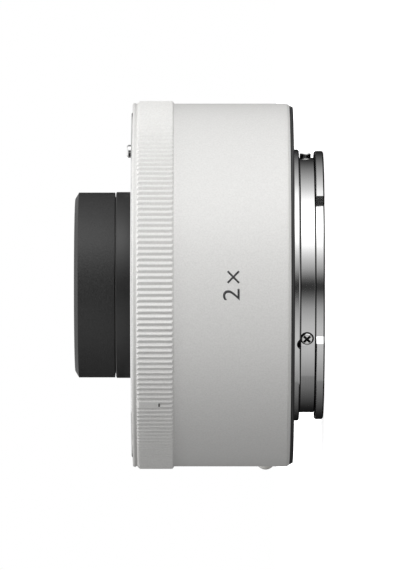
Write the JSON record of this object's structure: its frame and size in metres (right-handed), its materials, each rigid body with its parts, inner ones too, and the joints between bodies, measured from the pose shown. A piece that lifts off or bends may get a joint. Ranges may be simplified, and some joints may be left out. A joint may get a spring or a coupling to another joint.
{
  "type": "camera teleconverter",
  "caption": "Short white teleconverter with a ribbed ring, a black lens snout inside the front bayonet and a chrome bayonet at the rear.",
  "frame": {"origin": "on the optical axis, in the plane of the rear flange that meets the camera", "axes": "+Z along the optical axis towards the mounted lens, +X away from the electric contacts, +Y completes the right-handed frame"},
  "size_m": [0.0625, 0.0624, 0.0419],
  "materials": {
    "white_paint": "fine satin paint",
    "white_mark": "glossy enamel",
    "black_anodised": "satin anodised",
    "chrome_plate": "plated brass, fine turned",
    "cast_alloy": "cast, bead blasted",
    "spring_steel": "bright spring steel",
    "screw_steel": "plated steel",
    "gold_contact": "gold plated",
    "black_plastic": "matte moulded",
    "seal_rubber": "soft matte",
    "coated_glass": "polished, coated",
    "board_laminate": "solder mask",
    "chip_case": "moulded",
    "flex_film": "amber film"
  },
  "bodies": {
    "base": {"bayonet_screws": "screw_steel", "board_screws": "screw_steel", "chassis": "cast_alloy", "circuit_board": "board_laminate", "contact_block_screws": "screw_steel", "contact_board": "board_laminate", "contact_springs": "spring_steel", "control_chip": "chip_case", "element_1": "coated_glass", "element_2": "coated_glass", "element_3": "coated_glass", "element_4": "coated_glass", "element_5": "coated_glass", "element_6": "coated_glass", "element_7": "coated_glass", "element_8": "coated_glass", "flange_shim": "spring_steel", "front_contact_block": "black_plastic", "front_flex": "flex_film", "front_index_dot": "white_mark", "front_mount": "chrome_plate", "front_mount_screws": "screw_steel", "front_retaining_ring": "black_anodised", "front_spacer": "black_anodised", "grip_ring": "white_paint", "lens_barrel": "black_anodised", "lens_barrel_screws": "screw_steel", "lock_pin_spring": "spring_steel", "main_barrel": "white_paint", "mount_index": "white_mark", "mount_leaf_springs": "spring_steel", "rear_baffle": "black_plastic", "rear_contact_block": "black_plastic", "rear_contact_pads": "gold_contact", "rear_contact_screws": "screw_steel", "rear_flex": "flex_film", "rear_mount": "chrome_plate", "rear_mount_screws": "screw_steel", "rear_retaining_ring": "black_anodised", "rear_seal": "seal_rubber", "rear_spacer": "black_anodised", "release_spring": "spring_steel", "snout_cap": "black_anodised", "thin_spacer": "black_anodised", "trim_ring": "white_paint", "well_cover": "black_plastic"},
    "release": {"release_slider": "screw_steel", "release_knob": "white_paint", "release_screws": "screw_steel"},
    "lock": {"lock_pin": "screw_steel", "lock_pin_clip": "spring_steel"},
    "sprung_contacts": {"contact_pins": "gold_contact"}
  },
  "joints": [
    {"name": "release_slide", "type": "slide", "parent": "base", "child": "release", "axis": [0, 0, -1], "range_m": [0, 0.0013], "stiffness_N_per_m": 300, "springref_m": -0.004, "deforming": ["release_spring"]},
    {"name": "lock_pin_slide", "type": "slide", "parent": "base", "child": "lock", "axis": [0, 0, -1], "range_m": [0, 0.0013], "stiffness_N_per_m": 300, "springref_m": -0.004, "deforming": ["lock_pin_spring"]},
    {"name": "contact_pins_slide", "type": "slide", "parent": "base", "child": "sprung_contacts", "axis": [0, 0, -1], "range_m": [0, 0.0005], "stiffness_N_per_m": 3000, "springref_m": -0.001, "deforming": ["contact_springs"]}
  ],
  "couplings": [
    {"joint": "lock_pin_slide", "follows": "release_slide", "ratio": 1}
  ]
}
